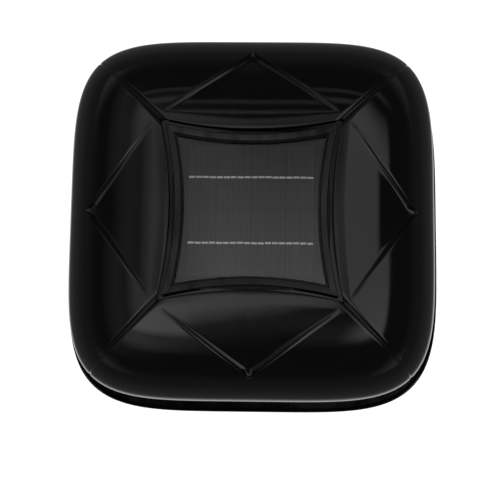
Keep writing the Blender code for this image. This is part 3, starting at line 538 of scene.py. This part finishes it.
def make_bezel(gloss):
    """The frame round the window: mitred corners, a face that slopes down to the glass, and a fine bead."""
    shares = side_shares(72, 0.5)

    def between(share):
        return [outer + (inner - outer) * share for outer, inner in zip(BEZEL, WINDOW)]

    sections = [
        (0.0, BEZEL_BOTTOM),
        (0.0, BEZEL_TOP - 0.8),
        (0.03, BEZEL_TOP - 0.25),
        (0.09, BEZEL_TOP),
        (0.40, BEZEL_TOP - 0.1),
        (0.74, BEZEL_TOP - 0.45),
        (0.80, BEZEL_TOP - 0.9),
        (0.84, BEZEL_INNER_TOP - 0.35),
        (0.88, BEZEL_INNER_TOP - 0.35),
        (0.91, BEZEL_INNER_TOP + 0.05),
        (0.95, BEZEL_INNER_TOP + 0.12),
        (0.99, BEZEL_INNER_TOP - 0.1),
        (1.0, BEZEL_INNER_TOP - 0.5),
        (1.0, BEZEL_BOTTOM),
    ]
    rows = [(*bowed_row(shares, *between(share)), z) for share, z in sections]
    bezel = skin("bezel_frame", stack_rows(rows), gloss, 25.0)
    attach(bezel, "housing")
    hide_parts("panel_bezel")


# ---------------------------------------------------------------- cells behind the glass


def block(name, low, high, material, bevel_mm=0.0, segments=2):
    """A box between two corners, in millimetres, with its edges rounded."""
    bpy.ops.object.select_all(action="DESELECT")
    centre = [(a + b) / 2 * MM for a, b in zip(low, high)]
    bpy.ops.mesh.primitive_cube_add(size=1.0, location=centre)
    made = bpy.context.active_object
    made.name = made.data.name = name
    made.scale = [(b - a) * MM for a, b in zip(low, high)]
    bpy.ops.object.transform_apply(location=True, rotation=True, scale=True)
    if bevel_mm:
        rounding = made.modifiers.new("rounding", "BEVEL")
        rounding.width, rounding.segments = bevel_mm * MM, segments
        bpy.ops.object.modifier_apply(modifier=rounding.name)
    return finish_piece(made, material)


def copy_of(made, name, offset_mm):
    """A copy with its own mesh, moved by whole lengths in its vertices."""
    data = made.data.copy()
    data.name = name
    data.transform(Matrix.Translation([value * MM for value in offset_mm]))
    other = bpy.data.objects.new(name, data)
    bpy.context.scene.collection.objects.link(other)
    return other


def joined(name, pieces):
    """Pieces of one finish joined into one object."""
    bpy.ops.object.select_all(action="DESELECT")
    for piece in pieces:
        piece.select_set(True)
    bpy.context.view_layer.objects.active = pieces[0]
    if len(pieces) > 1:
        bpy.ops.object.join()
    pieces[0].name = pieces[0].data.name = name
    pieces[0].select_set(False)
    return pieces[0]


def make_cells(silicon, tin):
    """Two strings of cut cells, each soldered along its middle by a ribbon, drawn as one flat strip on each
    cell that ends short of the next.
    """
    pitch = (CELL_HIGH[0] - CELL_LOW[0] - CELL_WIDTH) / (CELLS - 1)
    for row in ("upper", "lower"):
        node = f"cell_string_{row}"
        low, high = box_mm(node)
        face = low[2] + CELL_THICKNESS
        first = block("cell", low, (low[0] + CELL_WIDTH, high[1], face), silicon)
        cells = [first] + [copy_of(first, "cell", (pitch * number, 0, 0)) for number in range(1, CELLS)]
        cells = joined(f"cells_{row}", cells)
        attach(cells, "housing")
        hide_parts(node)
        middle = (low[1] + high[1]) / 2
        strips = []
        for number in range(CELLS):
            start = low[0] + pitch * number
            wander = draw.uniform(-RIBBON_WANDER, RIBBON_WANDER)
            end = start + CELL_WIDTH - RIBBON_GAP - draw.uniform(0, RIBBON_RAGGED)
            foot = (start + 0.12, middle - RIBBON_HALF + wander, face)
            top = (end, middle + RIBBON_HALF + wander, high[2])
            strips.append(block("ribbon", foot, top, tin, 0.08, 1))
        ribbons = joined(f"ribbon_{row}", strips)
        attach(ribbons, "housing")


# ---------------------------------------------------------------- base


def cut_holes(made, holes, top, bottom, steps=32):
    """Drills round holes down through a piece: each is (x, y, radius)."""
    drills = []
    for x, y, radius in holes:
        bpy.ops.object.select_all(action="DESELECT")
        spot = (x * MM, y * MM, (top + bottom) / 2 * MM)
        sizes = {"vertices": steps, "radius": radius * MM, "depth": (top - bottom) * MM}
        bpy.ops.mesh.primitive_cylinder_add(location=spot, **sizes)
        drills.append(bpy.context.active_object)
    bit = joined("drill_bit", drills)
    bpy.ops.object.select_all(action="DESELECT")
    bpy.context.view_layer.objects.active = made
    cut = made.modifiers.new("cut", "BOOLEAN")
    cut.operation, cut.solver, cut.object = "DIFFERENCE", "EXACT", bit
    bpy.ops.object.modifier_apply(modifier=cut.name)
    bpy.data.objects.remove(bit)
    return made


def make_base(abs_black):
    """The roof base: a flat flange with an upturned rim, and a throat that opens in a bell mouth."""
    shares = side_shares(64, 0.35)
    bottom, throat_top = BASE_LOW[2], BASE_HIGH[2]
    floor, rim_top = bottom + BASE_FLOOR, bottom + BASE_RIM
    rim_width = 3.8
    foot = THROAT + 5.5

    def rim(inset, z):
        return (*rounded_row(shares, BASE_HALF - inset, BASE_POWER), z)

    def ring(radius, z):
        return (*circle_row(shares, radius), z)

    rows = [rim(0.9, bottom), rim(0.35, bottom + 0.3), rim(0.0, bottom + 1.0), rim(0.0, rim_top - 1.2)]
    rows += [rim(0.35, rim_top - 0.4), rim(1.2, rim_top), rim(1.7, rim_top - 0.2), rim(2.2, rim_top - 1.0)]
    rows += [rim(2.5, floor + 1.2), rim(2.9, floor + 0.4), rim(rim_width, floor)]
    for share in (0.15, 0.35, 0.6, 0.8):
        flange = rounded_row(shares, BASE_HALF - rim_width, BASE_POWER)
        hole = circle_row(shares, foot)
        rows.append((*[a + (b - a) * share for a, b in zip(flange, hole)], floor))
    rows += [ring(foot, floor), ring(THROAT + 3.6, floor + 0.9), ring(THROAT + 2.6, floor + 3.0)]
    rows += [ring(THROAT + 2.5, throat_top - 0.6), ring(THROAT + 2.1, throat_top)]
    rows += [ring(THROAT + 0.4, throat_top), ring(THROAT, throat_top - 0.6), ring(THROAT, bottom + 12.0)]
    for angle in (15, 30, 45, 60, 75, 90):
        turn = math.radians(angle)
        outwards, up = BELL_WIDTH * (1 - math.cos(turn)), BELL_HEIGHT * (1 - math.sin(turn))
        rows.append(ring(THROAT + outwards, bottom + up))
    base = skin("base_moulding", stack_rows(rows), abs_black, 40.0)
    holes = [(x * BOLT_HOLE, y * BOLT_HOLE, BOLT_HOLE_RADIUS) for x, y in CORNERS]
    for angle in QUARTERS:
        for aside in (-ROOF_HOLE_ASIDE, ROOF_HOLE_ASIDE):
            spot = Matrix.Rotation(math.radians(angle), 2) @ Vector((ROOF_HOLE_OUT, aside))
            holes.append((spot.x, spot.y, ROOF_HOLE_RADIUS))
    cut_holes(base, holes, floor + 3, bottom - 3)
    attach(base, "housing")
    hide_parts("base_flange")
    profile = [(1.9, 34), (7.0, 34), (7.7, 34.5), (8, 35.4), (8, 45.2), (7.4, 46), (2.3, 46), (1.9, 45.6)]
    first = lathe("ear", profile, abs_black, 36)
    ears = []
    for angle in QUARTERS:
        spot = Matrix.Rotation(math.radians(angle), 2) @ Vector((EAR_CIRCLE, 0))
        ears.append(copy_of(first, "ear", (spot.x, spot.y, 0)))
    bpy.data.objects.remove(first)
    ears = joined("throat_ears", ears)
    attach(ears, "housing")


# ---------------------------------------------------------------- turned pieces


def lathe(name, profile, material, steps=72, smooth=35.0, solid=False):
    """A piece turned about the middle axis: a circle is extruded and resized from one (radius, height) of
    the profile to the next. A ring comes back to its first point and its seam is closed. A solid piece is
    closed by the faces it starts and ends on."""
    bpy.ops.object.select_all(action="DESELECT")
    radius, height = profile[0]
    foot = (0, 0, height * MM)
    fill = "NGON" if solid else "NOTHING"
    bpy.ops.mesh.primitive_circle_add(vertices=steps, radius=radius * MM, fill_type=fill, location=foot)
    made = bpy.context.active_object
    made.name = made.data.name = name
    bpy.ops.object.mode_set(mode="EDIT")
    bpy.ops.mesh.select_all(action="SELECT")
    path = profile if solid else profile + profile[:1]
    for (old_radius, old_height), (radius, height) in zip(path, path[1:]):
        bpy.ops.mesh.extrude_region()
        size = radius / old_radius
        bpy.ops.transform.resize(value=(size, size, 1), center_override=(0, 0, 0))
        bpy.ops.transform.translate(value=(0, 0, (height - old_height) * MM))
    bpy.ops.mesh.select_all(action="SELECT")
    if not solid:
        bpy.ops.mesh.remove_doubles(threshold=1e-6)
    bpy.ops.mesh.normals_make_consistent(inside=False)
    bpy.ops.object.mode_set(mode="OBJECT")
    bpy.ops.object.transform_apply(location=True, rotation=True, scale=True)
    return finish_piece(made, material, smooth)


# ---------------------------------------------------------------- outlet screen


def make_screen(steel):
    """Welded wire mesh bent round the outlet, bound by a rail at its foot and its head."""
    low, high = SCREEN_LOW[2], SCREEN_HIGH[2]
    half = SCREEN_HIGH[0] - RAIL_HALF_WIDTH

    def tube_rows(reach, z, wide, tall):
        shares = side_shares(56, 0.4)
        corners = ((-wide, -tall), (wide, -tall), (wide, tall), (-wide, tall))
        return [(*rounded_row(shares, reach + out, SCREEN_POWER), z + up) for out, up in corners]

    pieces = []
    for z in (low + RAIL_HALF_HEIGHT, high - RAIL_HALF_HEIGHT):
        rail = stack_rows(tube_rows(half, z, RAIL_HALF_WIDTH, RAIL_HALF_HEIGHT))
        pieces.append(skin("rail", rail, steel, 30))
    open_from, open_height = low + 2 * RAIL_HALF_HEIGHT, high - low - 4 * RAIL_HALF_HEIGHT
    count = int(open_height / MESH_PITCH)
    for number in range(1, count + 1):
        z = open_from + open_height * number / (count + 1)
        wire = stack_rows(tube_rows(half + 0.25, z, WIRE_HALF, WIRE_HALF))
        pieces.append(skin("wire", wire, steel, 60))
    around = np.linspace(0, math.tau, 20001)[:-1]
    cosine, sine = np.cos(around), np.sin(around)
    reach = half / (np.abs(cosine) ** SCREEN_POWER + np.abs(sine) ** SCREEN_POWER) ** (1 / SCREEN_POWER)
    xs, ys = reach * cosine, reach * sine
    travelled = np.concatenate([[0], np.cumsum(np.hypot(np.diff(xs), np.diff(ys)))])
    wires = int(travelled[-1] / MESH_PITCH)
    foot, head = (-WIRE_HALF, -WIRE_HALF, low + 1), (WIRE_HALF, WIRE_HALF, high - 1)
    first = block("upright", foot, head, steel)
    for number in range(wires):
        at = int(np.searchsorted(travelled, travelled[-1] * number / wires))
        pull = 1 - 0.35 / reach[at]
        pieces.append(copy_of(first, "upright", (xs[at] * pull, ys[at] * pull, 0)))
    pieces.append(first)
    first.data.transform(Matrix.Translation((xs[5] * MM, ys[5] * MM, 0)))
    screen = joined("wire_mesh", pieces)
    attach(screen, "housing")
    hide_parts("outlet_screen")


# ---------------------------------------------------------------- impeller


def blade_section(share):
    """One closed aerofoil section of a blade, from root to tip, as (along, height, radius)."""
    radius = BLADE_ROOT + (BLADE_TIP - BLADE_ROOT) * share
    chord = 34 + 46 * math.sin(share * math.radians(80))
    pitch = math.radians(34 - 17 * share)
    arch = 0.07 * chord
    points = []
    for step in range(48):
        turn = math.tau * step / 48
        u = math.cos(turn) / 2
        side = math.sin(turn)
        lift = arch * (1 - 4 * u * u)
        normal = lift + math.copysign(abs(side) ** 0.6, side) * BLADE_THICKNESS / 2
        along = u * chord
        across = along * math.cos(pitch) - normal * math.sin(pitch)
        height = along * math.sin(pitch) + normal * math.cos(pitch)
        angle = across / radius
        points.append((radius * math.cos(angle), radius * math.sin(angle), BLADE_HEIGHT + height))
    return points


def make_impeller(nylon):
    """A five-bladed axial impeller: one blade lofted from root to tip and copied round a coned hub."""
    spans = 26
    rows = [blade_section(step / spans) for step in range(spans + 1)]
    data = bpy.data.meshes.new("blade")
    count = len(rows[0])
    points = [[value * MM for value in point] for row in rows for point in row]
    faces = [list(range(count))[::-1], [spans * count + step for step in range(count)]]
    for span in range(spans):
        for step in range(count):
            after = (step + 1) % count
            near, far = span * count, (span + 1) * count
            faces.append([near + step, near + after, far + after, far + step])
    data.from_pydata(points, [], faces)
    first = bpy.data.objects.new("blade", data)
    bpy.context.scene.collection.objects.link(first)
    mesh = bmesh.new()
    mesh.from_mesh(data)
    bmesh.ops.recalc_face_normals(mesh, faces=mesh.faces)
    mesh.to_mesh(data)
    mesh.free()
    finish_piece(first, nylon, 40)
    blades = [first]
    for number in range(1, BLADES):
        other = copy_of(first, "blade", (0, 0, 0))
        other.data.transform(Matrix.Rotation(math.tau * number / BLADES, 4, "Z"))
        blades.append(other)
    hub = [(4.2, 19), (7.4, 19), (8, 19.6), (8, 38.4), (9, 39), (19, 39), (19.5, 38.4), (19.5, 19.5)]
    hub += [(20, 19), (21.5, 19), (22, 19.5), (22, 39.4), (21.3, 41.2), (19.6, 42), (6.2, 42)]
    hub += [(5.4, 41.4), (4.2, 41.4)]
    fan = joined("fan_wheel", [lathe("hub", hub, nylon, steps=96)] + blades)
    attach(fan, "rotor")
    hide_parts("impeller")


# ---------------------------------------------------------------- motor and small pieces


def rod(name, profile, material, steps=48):
    """A solid turned piece."""
    return lathe(name, profile, material, steps, solid=True)


def middle_of(node):
    """The middle of a CAD node's box, in millimetres."""
    low, high = box_mm(node)
    return [(a + b) / 2 for a, b in zip(low, high)]


def fix(made, body, slot, *nodes):
    """Rides a piece on its body and lets it stand in for the CAD nodes it replaces. Its slot is not used.
    """
    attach(made, body)
    if nodes:
        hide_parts(*nodes)
    return made


def make_motor(zinc, aluminium, steel):
    """The motor's drawn can, its cast end plate with the bearing boss, its shaft and its nut."""
    low, high = box_mm("motor_can")
    r, top, foot = high[0], high[2], low[2]
    can = [(r - 2, foot), (r - 0.3, foot), (r, foot + 0.3), (r, foot + 5), (r - 0.5, foot + 5.6)]
    can += [(r - 0.5, foot + 7), (r, foot + 7.6), (r, top - 3), (r - 0.4, top - 1.4), (r - 1.4, top - 0.4)]
    can += [(r - 3, top), (13, top)]
    can += [(12.4, top - 0.2), (12, top - 0.8), (12, top - 2), (r - 3, top - 2), (r - 2, top - 3)]
    fix(lathe("motor_case", can, zinc, steps=96), "housing", "bright_steel", "motor_can")
    cap = [(12, top - 2), (12, top - 0.9), (11.4, top - 0.3), (9.5, top), (0.5, top)]
    fix(rod("motor_case_cap", cap, zinc, steps=72), "housing", "bright_steel")

    low, high = box_mm("motor_end_plate")
    foot, top = low[2], high[2]
    plate = [(11.2, foot), (13.2, foot), (14, foot + 0.7), (13.7, foot + 7.2), (14.6, foot + 8)]
    plate += [(31, foot + 8), (32, foot + 8.8), (32, top - 0.5), (31.5, top), (12.2, top), (11.2, top - 1)]
    fix(lathe("end_plate", plate, aluminium, steps=96), "housing", "aluminium", "motor_end_plate")
    seal = box_mm("lower_bearing_outer_race")[0][2]
    shield = [(4.9, seal - 0.2), (10.9, seal - 0.2), (10.9, seal + 0.1), (4.9, seal + 0.1)]
    fix(lathe("bearing_shield", shield, steel, steps=64), "housing", "bright_steel")

    low, high = box_mm("motor_shaft")
    r, foot, top = high[0], low[2], high[2]
    ends = [(r - 0.7, foot), (r, foot + 0.7), (r, top - 0.7), (r - 0.7, top)]
    fix(rod("shaft", ends, steel), "rotor", "bright_steel", "motor_shaft")
    low, high = box_mm("impeller_nut")
    foot, top = low[2], high[2]
    nut = [(4.3, foot), (6.2, foot), (7, foot + 0.5), (7, top - 0.5), (6.2, top), (4.3, top)]
    fix(lathe("hub_nut", nut, steel, steps=6, smooth=20), "rotor", "bright_steel", "impeller_nut")


def set_four(first, name, seat, slot, replaced=None):
    """Copies a piece made on the axis to each of its four CAD nodes, and takes the first away."""
    for number in range(1, 5):
        node = f"{seat}_{number}"
        x, y, _ = middle_of(node)
        fix(copy_of(first, f"{name}_{number}", (x, y, 0)), "housing", slot, replaced or node)
    bpy.data.objects.remove(first)


def radius_and_ends(node):
    """A round CAD node's radius, foot and top in millimetres."""
    low, high = box_mm(node)
    return (high[0] - low[0]) / 2, low[2], high[2]


def make_posts(nylon, steel, gloss):
    """Tubular posts that hold the hood over the base, their bolts, and the hood's bosses above them."""
    r, foot, top = radius_and_ends("hood_post_1")
    post = [(2.8, foot), (r - 0.5, foot), (r, foot + 0.5), (r - 0.6, top - 0.5), (r - 1.1, top), (2.8, top)]
    set_four(lathe("post", post, nylon, 48), "post", "hood_post", "inner_plastic")
    foot = top + 0.3
    boss = [(2.5, foot), (6.6, foot), (7, foot + 0.4), (7, BOSS_TOP), (2.5, BOSS_TOP)]
    set_four(lathe("boss", boss, gloss, 36), "hood_boss", "hood_post", "hood_plastic", "hood_shell")
    r, foot, top = radius_and_ends("hood_bolt_1")
    bolt = [(r - 0.8, foot), (r, foot + 0.7), (r, foot + 2.5), (2.2, foot + 2.5)]
    bolt += [(2.2, top - 0.6), (1.6, top)]
    set_four(rod("bolt", bolt, steel, 32), "bolt", "hood_bolt", "bright_steel")


def make_mounts(rubber, steel):
    """The rubber bushes under the motor's bracket, and the screws through them."""
    r, foot, top = radius_and_ends("bracket_bush_1")
    bush = [(2.2, foot), (r - 0.4, foot), (r, foot + 0.4), (r, foot + 1.1), (r - 0.9, foot + 1.6)]
    bush += [(r - 0.9, top - 1.6), (r, top - 1.1), (r, top - 0.4), (r - 0.4, top), (2.2, top)]
    set_four(lathe("bush", bush, rubber, 40), "bush", "bracket_bush", "rubber")
    _, foot, top = radius_and_ends("bracket_screw_1")
    neck = top - 2.7
    screw = [(1.1, foot), (1.6, foot + 1), (1.6, neck), (3.9, neck), (4, neck + 0.6)]
    screw += [(3.4, neck + 1.9), (2.3, top), (1.9, top), (1.7, top - 1.0), (0.3, top - 1.2)]
    set_four(rod("screw", screw, steel, 28), "ear_screw", "bracket_screw", "bright_steel")


# ---------------------------------------------------------------- assembly

gloss_hood = moulded_abs("moulded_gloss_abs", "09090a", "0c0c0d", 0.05, 0.25)
gloss_frame = moulded_abs("moulded_satin_abs_frame", "09090a", "0c0c0d", 0.40, 0.3)
black_base = moulded_abs("moulded_abs_base", "0d0d0e", "121213", 0.22, 0.5)
nylon = glass_filled_nylon()
zinc = zinc_steel("zinc_coated_sheet", 5.0, "8e9396", "b4b8ba", 0.28, 0.46)
zinc_wire = zinc_steel("zinc_coated_wire", 2.0, "777c80", "a6aaac", 0.34, 0.5)
steel = bright_steel()
aluminium = cast_aluminium()
rubber = moulded_rubber()
copper = enamelled_copper()
laminations = stacked_laminations()
silicon = coated_silicon()
tin = tinned_ribbon()

FINISH = {
    "roof_gasket": closed_cell_foam(),
    "panel_backsheet": laminate_backing(),
    "window_glass": tempered_glass(),
    "window_seal": rubber,
    "junction_box": nylon,
    "junction_box_lid": nylon,
    "motor_bracket": zinc,
    "motor_screw": steel,
    "bezel_screw": steel,
    "motor_lead": rubber,
    "lead_grommet": rubber,
    "driver_board": solder_mask(),
    "magnet_ring": laminations,
    "rotor_core": steel,
    "stator_core": laminations,
    "stator_coil": copper,
    "lower_bearing": steel,
    "upper_bearing": steel,
}
for name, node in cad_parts.items():
    for start, material in FINISH.items():
        if name.startswith(start):
            node.data.materials.clear()
            node.data.materials.append(material)

hood = make_hood(gloss_hood)
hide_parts("hood_shell")
make_bezel(gloss_frame)
make_cells(silicon, tin)
make_base(black_base)
make_screen(zinc_wire)
make_impeller(nylon)
make_motor(zinc, aluminium, steel)
make_posts(nylon, steel, gloss_hood)
make_mounts(rubber, steel)

# ---------------------------------------------------------------- floor, light and camera


def make_floor():
    """The table under the object. Glossy pieces do not mirror it, so the rim keeps its dark edge."""
    bpy.ops.object.select_all(action="DESELECT")
    bpy.ops.mesh.primitive_plane_add(size=24, location=(0, 0, -0.0005))
    made = bpy.context.active_object
    made.name = "floor"
    made.data.transform(made.matrix_world)
    made.matrix_world = Matrix.Identity(4)
    made.data.materials.append(pale_floor())
    made.visible_glossy = False


# Soft lights round the studio, by the slope of the ray that meets them: across (low, high), along (low,
# high), how far the near edge leans, how soft the edges are across and along, and how bright they are
SOFT_LIGHTS = [
    ((-0.08, 0.14), (-0.10, 0.18), 2.6, (0.03, 0.10), 0.80),
    ((-0.26, -0.08), (-0.30, 0.07), 0.0, (0.03, 0.05), 0.95),
    ((-0.05, 0.30), (-0.42, -0.12), 0.0, (0.08, 0.10), 0.12),
    ((0.13, 0.74), (-0.40, 0.34), 0.0, (0.05, 0.07), 0.66),
    ((0.14, 0.74), (-0.40, 0.06), 0.0, (0.05, 0.14), 0.34),
    ((-0.42, -0.10), (-0.60, 0.30), 0.0, (0.09, 0.12), 0.42),
    ((-0.42, -0.10), (0.24, 0.60), 0.0, (0.09, 0.12), 0.18),
    ((-0.95, -0.40), (-0.90, 0.90), 0.0, (0.25, 0.20), 0.14),
    ((-0.40, 0.40), (0.27, 0.35), 0.0, (0.20, 0.03), 0.28),
    ((-0.60, 0.80), (0.49, 0.57), 0.0, (0.20, 0.02), 0.26),
    ((-0.50, 0.70), (0.68, 0.75), 0.0, (0.20, 0.02), 0.20),
    ((1.10, 2.80), (1.10, 2.80), 0.0, (0.35, 0.35), 0.16),
    ((-2.80, -1.10), (1.10, 2.80), 0.0, (0.35, 0.35), 0.20),
    ((-2.80, -1.10), (-2.80, -1.10), 0.0, (0.35, 0.35), 0.16),
    ((1.10, 2.80), (-2.80, -1.10), 0.0, (0.35, 0.35), 0.22),
]
# The studio's own glow, by the height of the ray from straight down at -1 to straight up at 1
SKY = [(-1.0, 0.95), (-0.86, 0.75), (-0.72, 0.17), (-0.12, 0.15)]
SKY += [(0.10, 0.11), (0.30, 0.10), (0.50, 0.05), (1.0, 0.05)]


def make_world():
    """A dim studio: soft lights overhead, and a pale table far below that only grazing edges pick up."""
    world = bpy.data.worlds.new("studio")
    world.use_nodes = True
    tree = world.node_tree
    back = tree.nodes["Background"]
    ray = add_node(tree, "ShaderNodeTexCoord").outputs["Generated"]
    split = add_node(tree, "ShaderNodeSeparateXYZ", {"Vector": ray}).outputs
    height = split["Z"]
    up = add_node(tree, "ShaderNodeMath", {0: height, 1: 0.02}, operation="MAXIMUM").outputs[0]
    slopes = []
    for axis in ("X", "Y"):
        slope = add_node(tree, "ShaderNodeMath", {0: split[axis], 1: up}, operation="DIVIDE")
        slopes.append(slope.outputs[0])
    share = add_node(tree, "ShaderNodeMapRange", {"Value": height, **span(-1, 1)})
    ramp = add_node(tree, "ShaderNodeValToRGB", {0: share.outputs[0]})
    stops = ramp.color_ramp.elements
    while len(stops) < len(SKY):
        stops.new(0.5)
    for stop, (level, glow) in zip(stops, SKY):
        stop.position, stop.color = (level + 1) / 2, (glow, glow, glow, 1)
    total = ramp.outputs["Color"]
    for across, along, lean, softness, glow in SOFT_LIGHTS:
        leant = {0: slopes[0], 1: -lean, 2: slopes[1]}
        leaning = add_node(tree, "ShaderNodeMath", leant, operation="MULTIPLY_ADD").outputs[0]
        edges = [{"Value": height, **span(0, 0.12, 0, glow)}]
        for near, far, (low, high), soft in zip((slopes[0], leaning), slopes, (across, along), softness):
            edges.append({"Value": near, **span(low - soft, low + soft)})
            edges.append({"Value": far, **span(high - soft, high + soft, 1, 0)})
        lit = 1.0
        for edge in edges:
            step = add_node(tree, "ShaderNodeMapRange", edge).outputs[0]
            lit = add_node(tree, "ShaderNodeMath", {0: lit, 1: step}, operation="MULTIPLY").outputs[0]
        total = add_node(tree, "ShaderNodeMath", {0: total, 1: lit}, operation="ADD").outputs[0]
    tree.links.new(total, back.inputs["Strength"])
    back.inputs["Color"].default_value = (1, 1, 1, 1)
    bpy.context.scene.world = world


make_floor()
make_world()


def aim(azimuth, elevation, roll):
    """The camera's axes from its turns about X, Y and its own line of sight, in degrees."""
    turn = Matrix.Rotation(math.radians(-roll), 3, "Z").transposed()
    lift = Matrix.Rotation(math.radians(-elevation), 3, "X").transposed()
    sway = Matrix.Rotation(math.radians(-azimuth), 3, "Y").transposed()
    return (turn @ lift @ sway).transposed()


CAMERA_PLACE = (0.023993, -0.189942, 1.126960)
CAMERA_TURNS = (-1.3685, -8.4501, -0.6941)
FOCAL_LENGTH, FILM_WIDTH = 78.246, 36.0
lens = bpy.data.cameras.new("camera")
lens.sensor_width, lens.lens = FILM_WIDTH, FOCAL_LENGTH
camera = bpy.data.objects.new("camera", lens)
bpy.context.scene.collection.objects.link(camera)
camera.matrix_world = Matrix.Translation(CAMERA_PLACE) @ aim(*CAMERA_TURNS).to_4x4()
bpy.context.scene.camera = camera
bpy.context.scene.view_settings.view_transform = "Standard"
